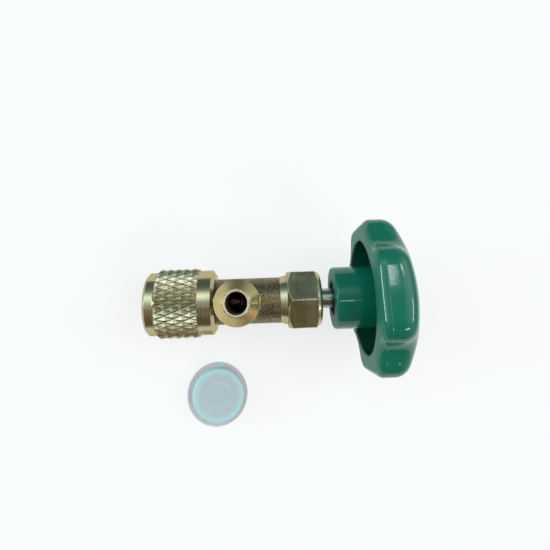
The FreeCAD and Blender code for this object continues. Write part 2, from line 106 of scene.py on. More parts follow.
# The direction across turning rings leans this far along the axis. The shader keeps the part
# that lies in the surface: this one on a cylinder, the outward one on an end face.
RING_LEAN_MM = 5.0
# The middle of a flat facet may lie this far off the round surface that it stands for.
NEAR_MM = 0.02
# Corners of the CAD mesh that are closer than this are the same corner.
MERGE_MM = 1e-4

# Settings that many nodes share.
COLOURS = {"data_type": "RGBA"}
SMOOTH = {"interpolation_type": "SMOOTHSTEP"}
TIMES = {"operation": "MULTIPLY"}
# Most values of a noise lie in this range.
NOISE_RANGE = {"From Min": 0.3, "From Max": 0.7}

Source = bpy.types.Node | bpy.types.NodeSocket
Values = dict[str, object]


def linear(hex_colour: str) -> tuple[float, float, float, float]:
    """Turn an sRGB hex colour into the linear colour that Blender's sockets take.

    Args:
        hex_colour: The colour, such as "#A0522D".

    Returns:
        Linear red, green, blue and an alpha of 1.
    """
    channels = [int(hex_colour[start:start + 2], 16) / 255 for start in (1, 3, 5)]
    made = [c / 12.92 if c <= 0.04045 else ((c + 0.055) / 1.055) ** 2.4 for c in channels]
    return (made[0], made[1], made[2], 1.0)


class Graph:
    """The node tree of one material or of the world, filled node by node."""

    def __init__(self, owner: bpy.types.Material | bpy.types.World) -> None:
        """Start with an empty tree.

        Args:
            owner: The material or the world.
        """
        owner.use_nodes = True
        self.tree = owner.node_tree
        self.tree.nodes.clear()

    def add(
        self,
        kind: str,
        settings: dict[str, object] | None = None,
        links: dict[str | int, object] | None = None,
    ) -> bpy.types.Node:
        """Add a node with its settings, and fill or link its inputs.

        Args:
            kind: Blender's name of the node type, without its "ShaderNode" start.
            settings: Properties to set, by name.
            links: Inputs by name or number. A socket is linked, so is the first output of a
                node, and anything else is a value.

        Returns:
            The new node.
        """
        made = self.tree.nodes.new("ShaderNode" + kind)
        for name, value in (settings or {}).items():
            setattr(made, name, value)
        for name, value in (links or {}).items():
            source = value.outputs[0] if isinstance(value, bpy.types.Node) else value
            if isinstance(source, bpy.types.NodeSocket):
                self.tree.links.new(source, made.inputs[name])
            else:
                made.inputs[name].default_value = value
        return made

    def radius(self, x: Source, y: Source) -> Source:
        """Distance from an axis.

        Args:
            x: First of the two coordinates that lie across the axis.
            y: The other one.

        Returns:
            The distance.
        """
        squares = [self.add("Math", TIMES, {0: side, 1: side}) for side in (x, y)]
        added = self.add("Math", {"operation": "ADD"}, {0: squares[0], 1: squares[1]})
        return self.add("Math", {"operation": "SQRT"}, {0: added})

    def off(self, value: Source, target: float) -> Source:
        """How far a value is off a target, on either side."""
        gap = self.add("Math", {"operation": "SUBTRACT"}, {0: value, 1: target})
        return self.add("Math", {"operation": "ABSOLUTE"}, {0: gap})

    def worn(self, edge_mm: float, height_mm: float, height: Source, samples: int = 4) -> Source:
        """Round the edges and lay a relief over them.

        Args:
            edge_mm: Radius of the edges.
            height_mm: Height of the relief.
            height: The relief, from 0 to 1.
            samples: How finely the edges are rounded.

        Returns:
            The normal.
        """
        rounded = self.add("Bevel", {"samples": samples}, {"Radius": edge_mm * MM})
        return self.add("Bump", None, {
            "Distance": height_mm * MM, "Height": height, "Normal": rounded})


@dataclass(frozen=True)
class Axes:
    """The valve's own frame inside the row frame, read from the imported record."""

    origin: Vector
    bore: Vector
    across: Vector
    port: Vector

    @classmethod
    def from_record(cls, record: dict) -> Axes:
        """Find the bore from the nut's joint and the port from its mount.

        Args:
            record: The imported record.

        Returns:
            The axes, with the origin where the port's axis crosses the bore.
        """
        joint = next(j for j in record["behaviour"]["joints"] if j["name"] == "nut_swivel")
        mount = next(m for m in record["mounts"] if m["name"] == "side_port")
        bore = Vector(joint["axis"]).normalized()
        port = Vector(mount["axis"]).normalized()
        on_bore = Vector(joint["pos_m"])
        origin = on_bore + bore * (Vector(mount["pos_m"]) - on_bore).dot(bore)
        return cls(origin, bore, port.cross(bore).normalized(), port)

    @classmethod
    def upright(cls, origin: Vector) -> Axes:
        """Axes of a piece that stands straight on the floor, at a point of the row frame."""
        return cls(origin, Vector((1, 0, 0)), Vector((0, 1, 0)), Vector((0, 0, 1)))

    def turn(self) -> Matrix:
        """Rotation from the valve's frame to the row frame."""
        return Matrix((self.bore, self.across, self.port)).transposed()

    def matrix(self) -> Matrix:
        """Matrix from the valve's frame in millimetres to the row frame in metres."""
        return Matrix.Translation(self.origin) @ self.turn().to_4x4() @ Matrix.Scale(MM, 4)


class TurnAxis(Enum):
    """The axis that a face was turned about on the lathe."""

    BORE = "X"
    PORT = "Z"

    def split(self, x: object, y: object, z: object) -> tuple[object, object, object]:
        """Sort three coordinates into the one along this axis and the two across it."""
        return (x, y, z) if self is TurnAxis.BORE else (z, x, y)

    def join(self, along: float, first: float, second: float) -> Vector:
        """Put a point together from its place along this axis and across it."""
        return Vector((along, first, second) if self is TurnAxis.BORE else (first, second, along))


class Shop:
    """Gives finishes the valve's own millimetres, so that patterns have real sizes."""

    def __init__(self, axes: Axes) -> None:
        """Keep the axes that the patterns follow.

        Args:
            axes: The valve's frame.
        """
        self.axes = axes

    def place(self, graph: Graph) -> Source:
        """Find the place on the valve, in millimetres of its own frame.

        Args:
            graph: The material's nodes.

        Returns:
            The coordinates.
        """
        location, turn, scale = self.axes.matrix().inverted().decompose()
        return graph.add("Mapping", None, {
            "Vector": graph.add("TexCoord").outputs["Object"],
            "Location": location, "Rotation": turn.to_euler(), "Scale": scale})

    def across_rings(self, graph: Graph, place: Source, axis: TurnAxis) -> Source:
        """Direction across the turning rings: along a cylinder, outwards on an end face.

        Args:
            graph: The material's nodes.
            place: The coordinates.
            axis: The axis that the face was turned about.

        Returns:
            The direction, in world space.
        """
        parts = graph.add("SeparateXYZ", None, {0: place}).outputs
        sides = {name: parts[name] for name in "XYZ" if name != axis.value}
        joined = graph.add("CombineXYZ", None, {**sides, axis.value: RING_LEAN_MM})
        turned = graph.add("Mapping", {"vector_type": "VECTOR"}, {
            "Vector": joined, "Rotation": self.axes.turn().to_euler()})
        return graph.add("VectorTransform", {
            "vector_type": "VECTOR", "convert_from": "OBJECT", "convert_to": "WORLD",
        }, {0: turned})


@dataclass(frozen=True)
class Finish:
    """A real material and how it was worked, with the marks that the work leaves."""

    name: str

    def inputs(self, shop: Shop, graph: Graph, place: Source) -> Values:
        """Add the nodes that the finish needs.

        Args:
            shop: Supplies directions.
            graph: The material's nodes.
            place: The place on the valve, in millimetres.

        Returns:
            The shader's inputs.
        """
        raise NotImplementedError

    def build(self, shop: Shop) -> bpy.types.Material:
        """Make the material.

        Args:
            shop: Supplies the coordinates.

        Returns:
            The material.
        """
        material = bpy.data.materials.new(self.name)
        graph = Graph(material)
        shader = graph.add("BsdfPrincipled", None, self.inputs(shop, graph, shop.place(graph)))
        graph.add("OutputMaterial", None, {"Surface": shader})
        return material


@dataclass(frozen=True)
class TurnedBrass(Finish):
    """Free-cutting brass, turned and left bright.

    The lathe's feed leaves fine rings, so a highlight is drawn out across them, and handling
    leaves cloudy, duller patches. A real feed of about 0.1 mm is too fine for the picture, so
    the rings are drawn coarser.
    """

    axis: TurnAxis
    colour: str = "#C4BD9C"
    tarnish: str = "#AEA37C"
    roughness: float = 0.17
    roughness_spread: float = 0.12
    stretch: float = 0.75
    feed_mm: float = 0.26
    ring_height_mm: float = 0.010
    face_share: float = 0.7
    cloud_mm: float = 3.0
    edge_mm: float = 0.10
    edge_tint: str = "#EADFBE"

    def inputs(self, shop: Shop, graph: Graph, place: Source) -> Values:
        """Rings along the tool's path under clouds of tarnish.

        Args:
            shop: Supplies directions.
            graph: The material's nodes.
            place: The place on the valve, in millimetres.

        Returns:
            The shader's inputs.
        """
        add = graph.add
        along, first, second = self.axis.split(*add("SeparateXYZ", None, {0: place}).outputs)
        # Along a cylinder only "along" changes, on a face only the radius, on a cone both.
        path = add("Math", {"operation": "MULTIPLY_ADD"}, {
            0: graph.radius(first, second), 1: -self.face_share, 2: along})
        rings = add("TexNoise", {"noise_dimensions": "1D"}, {
            "W": path, "Scale": 0.5 / self.feed_mm, "Detail": 3.0, "Roughness": 0.7})
        clouds = add("TexNoise", None, {
            "Vector": place, "Scale": 1 / self.cloud_mm, "Detail": 4.0, "Roughness": 0.6})
        colour = add("Mix", COLOURS, {0: clouds, 6: linear(self.tarnish), 7: linear(self.colour)})
        rough = add("MapRange", None, {
            "Value": add("Math", TIMES, {0: clouds, 1: rings}),
            "From Min": 0.12, "From Max": 0.42,
            "To Min": self.roughness + self.roughness_spread, "To Max": self.roughness})
        return {
            "Base Color": colour.outputs[2],
            "Metallic": 1.0,
            "Roughness": rough,
            "Specular Tint": linear(self.edge_tint),
            "Anisotropic": self.stretch,
            "Tangent": shop.across_rings(graph, place, self.axis),
            "Normal": graph.worn(self.edge_mm, self.ring_height_mm, rings),
        }


@dataclass(frozen=True)
class ForgedBrass(Finish):
    """Hot-forged brass, cleaned by blasting.

    Fine pits break every reflection: dark specks of scale lie between pale rubbed grains, and
    whole patches keep a browner or a greyer skin. Real pits of about 0.1 mm would blur away in
    the picture, so they are drawn coarser.
    """

    name: str = "hot_forged_blasted_brass"
    grain: str = "#D0C8A8"
    pit: str = "#534F48"
    grey_skin: str = "#B0AEA6"
    brown_skin: str = "#C0A87C"
    skin_share: float = 0.8
    roughness: float = 0.34
    roughness_spread: float = 0.12
    grain_mm: float = 0.26
    grain_height_mm: float = 0.070
    patch_mm: float = 2.6

    def inputs(self, shop: Shop, graph: Graph, place: Source) -> Values:
        """Pits and grains, toned by patches of skin.

        Args:
            shop: Supplies directions; not used here.
            graph: The material's nodes.
            place: The place on the valve, in millimetres.

        Returns:
            The shader's inputs.
        """
        add = graph.add
        grains = add("TexNoise", None, {
            "Vector": place, "Scale": 1 / self.grain_mm, "Detail": 2.0, "Roughness": 0.8})
        patches = add("TexNoise", None, {
            "Vector": place, "Scale": 1 / self.patch_mm, "Detail": 3.0})
        shade = add("MapRange", SMOOTH, {"Value": grains, "From Min": 0.42, "From Max": 0.60})
        side = add("MapRange", None, {"Value": patches, "From Min": 0.35, "From Max": 0.65})
        colour = add("Mix", COLOURS, {0: shade, 6: linear(self.pit), 7: linear(self.grain)})
        skin = add("Mix", COLOURS, {
            0: side, 6: linear(self.grey_skin), 7: linear(self.brown_skin)})
        toned = add("Mix", {**COLOURS, "blend_type": "MULTIPLY"}, {
            0: self.skin_share, 6: colour.outputs[2], 7: skin.outputs[2]})
        return {
            "Base Color": toned.outputs[2],
            "Metallic": 1.0,
            "Roughness": add("MapRange", None, {
                "Value": shade, "To Min": self.roughness + self.roughness_spread,
                "To Max": self.roughness}),
            "Normal": add("Bump", None, {
                "Distance": self.grain_height_mm * MM, "Height": grains}),
        }


@dataclass(frozen=True)
class DrawnBrass(Finish):
    """Cold-drawn hexagon brass bar.

    The flats keep a satin, slightly olive skin, and dressing them leaves fine streaks across the
    bar. Real streaks are finer than a pixel, so they are drawn wider.
    """

    name: str = "cold_drawn_hexagon_brass"
    colour: str = "#D6D4B6"
    streak: str = "#9A9268"
    roughness_bright: float = 0.19
    roughness_dull: float = 0.34
    streak_mm: float = 0.35
    streak_length_mm: float = 9.0
    streak_height_mm: float = 0.018
    cloud_mm: float = 3.33
    edge_mm: float = 0.26
    edge_tint: str = "#E0CF9C"

    def inputs(self, shop: Shop, graph: Graph, place: Source) -> Values:
        """Streaks across the bar, and clouds that dull them.

        Args:
            shop: Supplies directions; not used here.
            graph: The material's nodes.
            place: The place on the valve, in millimetres.

        Returns:
            The shader's inputs.
        """
        add = graph.add
        length = 1 / self.streak_length_mm
        stretched = add("Mapping", None, {
            "Vector": place, "Scale": (1 / self.streak_mm, length, length)})
        streaks = add("TexNoise", None, {
            "Vector": stretched, "Scale": 1.0, "Detail": 4.0, "Roughness": 0.65})
        clouds = add("TexNoise", None, {
            "Vector": place, "Scale": 1 / self.cloud_mm, "Detail": 5.0})
        colour = add("Mix", COLOURS, {0: streaks, 6: linear(self.streak), 7: linear(self.colour)})
        return {
            "Base Color": colour.outputs[2],
            "Metallic": 1.0,
            "Roughness": add("MapRange", None, {
                "Value": clouds, **NOISE_RANGE,
                "To Min": self.roughness_dull, "To Max": self.roughness_bright}),
            "Specular Tint": linear(self.edge_tint),
            "Normal": graph.worn(self.edge_mm, self.streak_height_mm, streaks),
        }


@dataclass(frozen=True)
class KnurledBrass(Finish):
    """Brass, diamond-knurled by rolling and then brightened in acid.

    Burnished facets flash pale gold, and the colour is darker towards the bottom of the grooves.
    """

    name: str = "rolled_knurl_brass"
    colour: str = "#D6D3B6"
    groove_bottom_colour: str = "#B4AB86"
    crest_r_mm: float = 8.86
    groove_depth_mm: float = 0.56
    pale_depth_share: float = 0.35
    roughness: float = 0.19
    roughness_spread: float = 0.12
    grain_mm: float = 0.35
    grain_height_mm: float = 0.012
    edge_mm: float = 0.13
    edge_tint: str = "#EBDDB0"

    def inputs(self, shop: Shop, graph: Graph, place: Source) -> Values:
        """Darker towards the groove bottoms, and a fine grain on the facets.

        Args:
            shop: Supplies directions; not used here.
            graph: The material's nodes.
            place: The place on the valve, in millimetres.

        Returns:
            The shader's inputs.
        """
        add = graph.add
        _, y, z = add("SeparateXYZ", None, {0: place}).outputs
        # Darker towards the bottom of the grooves: the colour follows the depth below the crest.
        height = add("MapRange", None, {
            "Value": graph.radius(y, z),
            "From Min": self.crest_r_mm - self.groove_depth_mm,
            "From Max": self.crest_r_mm - self.groove_depth_mm * self.pale_depth_share})
        grains = add("TexNoise", None, {
            "Vector": place, "Scale": 1 / self.grain_mm, "Detail": 3.0})
        colour = add("Mix", COLOURS, {0: height, 6: linear(self.groove_bottom_colour), 7: linear(self.colour)})
        return {
            "Base Color": colour.outputs[2],
            "Metallic": 1.0,
            "Roughness": add("MapRange", None, {
                "Value": grains, **NOISE_RANGE,
                "To Min": self.roughness, "To Max": self.roughness + self.roughness_spread}),
            "Specular Tint": linear(self.edge_tint),
            "Normal": graph.worn(self.edge_mm, self.grain_height_mm, grains),
        }


@dataclass(frozen=True)
class GroundSteel(Finish):
    """Ground steel: grey, bright, with fine grinding lines round it.

    Real grinding lines are a few hundredths of a millimetre apart, so they are drawn coarser.
    """

    colour: str
    roughness: float = 0.18
    roughness_spread: float = 0.15
    line_mm: float = 0.15
    line_height_mm: float = 0.006

    def inputs(self, shop: Shop, graph: Graph, place: Source) -> Values:
        """Lines round the bore.

        Args:
            shop: Supplies directions; not used here.
            graph: The material's nodes.
            place: The place on the valve, in millimetres.

        Returns:
            The shader's inputs.
        """
        add = graph.add
        x, _, _ = add("SeparateXYZ", None, {0: place}).outputs
        lines = add("TexNoise", {"noise_dimensions": "1D"}, {
            "W": x, "Scale": 0.5 / self.line_mm, "Detail": 2.0})
        return {
            "Base Color": linear(self.colour),
            "Metallic": 1.0,
            "Roughness": add("MapRange", None, {
                "Value": lines, "To Min": self.roughness,
                "To Max": self.roughness + self.roughness_spread}),
            "Normal": add("Bump", None, {"Distance": self.line_height_mm * MM, "Height": lines}),
        }


@dataclass(frozen=True)
class MouldedPlastic(Finish):
    """Glossy injection-moulded ABS.

    A polished mould gives a hard gloss with a faint orange peel, and the two halves of the mould
    leave a thin raised line round the wheel. The hollow behind the rim is darkened with painted
    shade.
    """

    name: str = "injection_moulded_green_abs"
    colour: str = "#11735C"
    deep: str = "#0E654E"
    hollow_painted_shade: str = "#0A4B39"
    hub_r_mm: float = 8.0
    hollow_r_mm: float = 15.2
    hollow_end_x_mm: float = 39.2
    hollow_blend_mm: float = 0.3
    parting_x_mm: float = 33.9
    parting_width_mm: float = 0.22
    parting_height_mm: float = 0.05
    parting_blend_mm: float = 0.4
    flow_mm: float = 8.33
    peel_mm: float = 1.6
    peel_height_mm: float = 0.006
    roughness: float = 0.045
    roughness_spread: float = 0.05
    back_roughness: float = 0.50
    edge_mm: float = 0.6
    edge_samples: int = 8
    specular: float = 0.38

    def inputs(self, shop: Shop, graph: Graph, place: Source) -> Values:
        """Flow clouds, painted shade in the hollow, orange peel, the parting line and the matt back.

        Args:
            shop: Supplies directions.
            graph: The material's nodes.
            place: The place on the valve, in millimetres.

        Returns:
            The shader's inputs.
        """
        add = graph.add
        x, y, z = add("SeparateXYZ", None, {0: place}).outputs
        radius = graph.radius(y, z)
        flow = add("TexNoise", None, {"Vector": place, "Scale": 1 / self.flow_mm, "Detail": 2.0})
        peel = add("TexNoise", None, {"Vector": place, "Scale": 1 / self.peel_mm, "Detail": 1.0})
        # Painted shade darkens the hollow, outside the hub, inside the rim and behind the web.
        hollow = 1.0
        for value, start, end in (
            (radius, self.hub_r_mm, self.hub_r_mm + self.hollow_blend_mm),
            (radius, self.hollow_r_mm, self.hollow_r_mm - self.hollow_blend_mm),
            (x, self.hollow_end_x_mm + self.hollow_blend_mm, self.hollow_end_x_mm),
        ):
            within = add("MapRange", None, {"Value": value, "From Min": start, "From Max": end})
            hollow = add("Math", TIMES, {0: hollow, 1: within})
        moulded = add("Mix", COLOURS, {0: flow, 6: linear(self.deep), 7: linear(self.colour)})
        colour = add("Mix", COLOURS, {
            0: hollow, 6: moulded.outputs[2], 7: linear(self.hollow_painted_shade)})
        # The parting line stands up on the outside of the rim only.
        ridge = add("MapRange", SMOOTH, {
            "Value": graph.off(x, self.parting_x_mm), "From Max": self.parting_width_mm,
            "To Min": 1.0, "To Max": 0.0})
        outside = add("MapRange", None, {
            "Value": radius, "From Min": self.hollow_r_mm,
            "From Max": self.hollow_r_mm + self.parting_blend_mm})
        bump = add("Bump", None, {
            "Distance": self.parting_height_mm * MM,
            "Height": add("Math", TIMES, {0: ridge, 1: outside}),
            "Normal": graph.worn(self.edge_mm, self.peel_height_mm, peel, self.edge_samples)})
        gloss = add("MapRange", None, {
            "Value": flow, **NOISE_RANGE,
            "To Min": self.roughness, "To Max": self.roughness + self.roughness_spread})
        # The faces towards the brass come from a part of the mould that isn't polished.
        backward = add("VectorMath", {"operation": "DOT_PRODUCT"}, {
            0: add("TexCoord").outputs["Normal"], 1: -shop.axes.bore})
        matt = add("MapRange", SMOOTH, {
            "Value": backward.outputs["Value"], "From Min": 0.86, "From Max": 0.96})
        rough = add("Mix", {"data_type": "FLOAT"}, {0: matt, 2: gloss, 3: self.back_roughness})
        return {
            "Base Color": colour.outputs[2],
            "Roughness": rough,
            "IOR": 1.52,
            "Specular IOR Level": self.specular,
            "Normal": bump,
        }


@dataclass(frozen=True)
class CapPlastic(Finish):
    """Injection-moulded low-density polyethylene in its natural colour.

    Milky and soft: light enters, scatters and comes out bluish. Seen from above, the wall below
    the disc gathers light in a pale cyan ring, which is painted into the colour as painted light,
    and the thin flange outside it looks grey.
    """

    name: str = "moulded_natural_ldpe"
    middle: str = "#CAD5DA"
    haze: str = "#BCCAD1"
    # Painted light: the glow of the wall below the disc.
    ring: str = "#C0E3E6"
    flange: str = "#DAD3D6"
    circle: str = "#E6F0F2"
    gate: str = "#BEE9EB"
    ring_from_mm: tuple[float, float] = (4.6, 6.2)
    ring_to_mm: tuple[float, float] = (6.75, 7.0)
    circle_r_mm: float = 3.2
    circle_width_mm: float = 0.22
    gate_mm: tuple[float, float, float] = (1.0, 7.5, 0.0)
    gate_r_mm: float = 0.9
    haze_mm: float = 2.0
    grain_mm: float = 0.4545
    grain_height_mm: float = 0.02
    roughness_range: tuple[float, float] = (0.28, 0.43)
    scatter_mm: float = 1.2

    def inputs(self, shop: Shop, graph: Graph, place: Source) -> Values:
        """Haze under the ring of painted light, the flange, the circle and the gate's mark.

        Args:
            shop: Supplies directions; not used here.
            graph: The material's nodes.
            place: The place on the cap, in millimetres.

        Returns:
            The shader's inputs.
        """
        add = graph.add
        x, y, _ = add("SeparateXYZ", None, {0: place}).outputs
        radius = graph.radius(x, y)
        haze, grain = (
            add("TexNoise", None, {"Vector": place, "Scale": 1 / size, "Detail": 3.0})
            for size in (self.haze_mm, self.grain_mm))
        to_gate = add("VectorMath", {"operation": "DISTANCE"}, {
            0: add("CombineXYZ", None, {"X": x, "Y": y}), 1: self.gate_mm}).outputs["Value"]
        to_circle = graph.off(radius, self.circle_r_mm)
        colour = add("Mix", COLOURS, {0: haze, 6: linear(self.haze), 7: linear(self.middle)})
        # The ring's pale cyan is painted light, for the light that gathers in the wall below the
        # disc.
        for reach, (start, end), tone in (
            (radius, self.ring_from_mm, self.ring),
            (radius, self.ring_to_mm, self.flange),
            (to_circle, (self.circle_width_mm, 0.0), self.circle),
            (to_gate, (self.gate_r_mm, self.gate_r_mm / 2), self.gate),
        ):
            share = add("MapRange", SMOOTH, {"Value": reach, "From Min": start, "From Max": end})
            colour = add("Mix", COLOURS, {0: share, 6: colour.outputs[2], 7: linear(tone)})
        smooth, rough = self.roughness_range
        return {
            "Base Color": colour.outputs[2],
            "Roughness": add("MapRange", None, {"Value": grain, "To Min": smooth, "To Max": rough}),
            "IOR": 1.51,
            "Transmission Weight": 0.08,
            "Subsurface Weight": 0.2,
            "Subsurface Scale": self.scatter_mm * MM,
            "Normal": add("Bump", None, {"Distance": self.grain_height_mm * MM, "Height": grain}),
        }


@dataclass(frozen=True)
class SoftSeal(Finish):
    """Moulded rubber or turned PTFE: matt, with a fine grain."""

    colour: str
    roughness: float
    roughness_spread: float = 0.08
    grain_mm: float = 0.4
    grain_height_mm: float = 0.02

    def inputs(self, shop: Shop, graph: Graph, place: Source) -> Values:
        """A fine grain.

        Args:
            shop: Supplies directions; not used here.
            graph: The material's nodes.
            place: The place on the valve, in millimetres.

        Returns:
            The shader's inputs.
        """
        add = graph.add
        grain = add("TexNoise", None, {
            "Vector": place, "Scale": 1 / self.grain_mm, "Detail": 3.0})
        return {
            "Base Color": linear(self.colour),
            "Roughness": add("MapRange", None, {
                "Value": grain, "To Min": self.roughness - self.roughness_spread,
                "To Max": self.roughness + self.roughness_spread}),
            "Normal": add("Bump", None, {"Distance": self.grain_height_mm * MM, "Height": grain}),
        }


class Finishes:
    """Every finish of the valve, made once and shared by its pieces."""

    def __init__(self, shop: Shop, cap_shop: Shop) -> None:
        """Make the finishes.

        Args:
            shop: Supplies the valve's millimetres.
            cap_shop: Supplies millimetres from the middle of the loose cap.
        """
        self.forged = ForgedBrass().build(shop)
        self.turned_bore = TurnedBrass("turned_bright_brass", TurnAxis.BORE).build(shop)
        # Turned last and with a sharper tool: yellower, with rings that catch more light.
        self.turned_port = TurnedBrass(
            "turned_flare_brass", TurnAxis.PORT, "#D8C896", "#B4A06A", roughness_spread=0.10,
            stretch=0.6, ring_height_mm=0.014, edge_mm=0.28).build(shop)
        # Drilled under oil and darkened with painted shade: the walls inside the bores look dull and
        # a darker reddish brown.
        self.drilled = TurnedBrass(
            "drilled_oily_brass_painted_shade", TurnAxis.PORT, "#A88C7A", "#745C4E", 0.34).build(shop)
        # Sheared off by the trimming tool: a smooth, browner stripe along the forging.
        self.trimmed = TurnedBrass(
            "trimmed_flash_brass", TurnAxis.BORE, "#B8A478", "#9A8456", 0.24).build(shop)
        # Rubbed by the flared pipe, with a painted highlight: the palest brass, soft and without
        # rings.
        self.lead_in = TurnedBrass(
            "burnished_lead_in_brass_painted_highlight", TurnAxis.PORT, "#F2EBD2", "#E6DEBE", 0.42,
            stretch=0.0).build(shop)
        # Rounded with a form tool: an even, softer sheen, and a paler colour that paints a
        # highlight.
        self.rounded = TurnedBrass(
            "turned_round_end_brass_painted_highlight", TurnAxis.BORE, "#DCD4B4", "#C8BC94", 0.30, 0.08,
            stretch=0.0, edge_mm=0.7).build(shop)
        self.knurled = KnurledBrass().build(shop)
        self.drawn = DrawnBrass().build(shop)
        # Ground and handled: a middle grey that still mirrors the nut beside it.
        self.stem_steel = GroundSteel("ground_stem_steel", "#9DA09C").build(shop)
        # Old oil on the thread, and painted shade inside the bore: brown and half dull.
        self.oily_shaded_steel = GroundSteel("oily_thread_steel_painted_shade", "#6B5148", 0.26).build(shop)
        # Drawn wire: darker and duller than ground steel.
        self.spring_steel = GroundSteel("drawn_spring_wire", "#8E8F8C", 0.30).build(shop)
        # Zinc plate: pale and slightly cloudy.
        self.plated_steel = GroundSteel("zinc_plated_steel", "#C4C6C4", 0.28).build(shop)
        # Nitrile rubber: nearly black, matt where it is pressed flat and a little shinier as a ring.
        self.gasket = SoftSeal("moulded_nitrile_gasket", "#23211F", 0.62).build(shop)
        self.seal = SoftSeal("moulded_nitrile_seal", "#1D1D1E", 0.45).build(shop)
        # Turned PTFE: waxy white.
        self.packing = SoftSeal("turned_ptfe_packing", "#E6E4DC", 0.40).build(shop)
        self.green_plastic = MouldedPlastic().build(shop)
        self.cap_plastic = CapPlastic().build(cap_shop)


@dataclass(frozen=True)
class Thread:
    """A screw thread on a straight cylinder of the valve.

    Crest and root are the thread's own radii. A groove is cut into the solid from the crest, so
    an outside thread goes inwards from its radius and an inside thread goes outwards.
    """

    crest_r: float
    pitch: float
    start: float
    end: float
    axis: TurnAxis
    inside: bool = False
    segments: int = 96
    rows_per_pitch: int = 12
    groove_share: float = 0.60
    flat_share: float = 0.12
    fade_share: float = 0.6

    def groove(self, turns: float) -> float:
        """How far the flank is down, from 0 at the crest to 1 at the root.

        Args:
            turns: Place along the helix, in turns.

        Returns:
            The share of the full depth.
        """
        phase = abs((turns % 1.0) * 2 - 1)
        return min(1.0, max(0.0, (phase - self.flat_share) / (1 - 2 * self.flat_share)))

    def point(self, along: float, angle: float) -> Vector:
        """Point of the threaded surface in the valve's frame.

        Args:
            along: Distance along the thread's axis.
            angle: Angle round it, in radians.

        Returns:
            The point, in millimetres.
        """
        fade = min(along - self.start, self.end - along) / (self.fade_share * self.pitch)
        share = self.groove(along / self.pitch - angle / math.tau) * min(1.0, max(0.0, fade))
        depth = self.pitch * self.groove_share * share
        radius = self.crest_r + (depth if self.inside else -depth)
        return self.axis.join(along, radius * math.cos(angle), radius * math.sin(angle))

    def carries(self, corner: Vector) -> bool:
        """Whether a corner of the plain mesh lies on the cylinder that the thread stands for.

        Args:
            corner: The corner, in the valve's frame.

        Returns:
            True where the thread takes the corner's place.
        """
        along, first, second = self.axis.split(*corner)
        on_wall = abs(math.hypot(first, second) - self.crest_r) < NEAR_MM
        return on_wall and self.start - NEAR_MM < along < self.end + NEAR_MM

    def cut_into(self, mesh: bmesh.types.BMesh) -> None:
        """Replace the plain cylinder in a mesh by the thread.

        Args:
            mesh: Mesh in the valve's frame, in millimetres.
        """
        plain = [face for face in mesh.faces if all(self.carries(v.co) for v in face.verts)]
        bmesh.ops.delete(mesh, geom=plain, context="FACES")
        length = self.end - self.start
        rows = max(2, round(length / self.pitch * self.rows_per_pitch))
        grid = [
            [
                mesh.verts.new(self.point(
                    self.start + length * row / rows, math.tau * step / self.segments))
                for step in range(self.segments)
            ]
            for row in range(rows + 1)
        ]
        outward = (self.axis is TurnAxis.BORE) != self.inside
        for low, high in zip(grid, grid[1:]):
            for step in range(self.segments):
                after = (step + 1) % self.segments
                corners = [low[step], low[after], high[after], high[step]]
                mesh.faces.new(corners if outward else corners[::-1])


@dataclass(frozen=True)
class Wear:
    """Corners along the bore that the drawing die rounded."""

    radius_mm: float = 0.26
    segments: int = 3
    roundness: float = 0.5
    along: float = 0.9
    least_deg: float = 40.0

    def round_off(self, mesh: bmesh.types.BMesh) -> None:
        """Round the corners that run along the bore.

        Args:
            mesh: Mesh in the valve's frame, in millimetres.
        """
        corners = [
            edge for edge in mesh.edges
            if len(edge.link_faces) == 2
            and abs((edge.verts[1].co - edge.verts[0].co).normalized().x) > self.along
            and edge.calc_face_angle(0.0) > math.radians(self.least_deg)
        ]
        bmesh.ops.bevel(
            mesh, geom=corners, offset=self.radius_mm, segments=self.segments,
            affect="EDGES", profile=self.roundness, clamp_overlap=True)


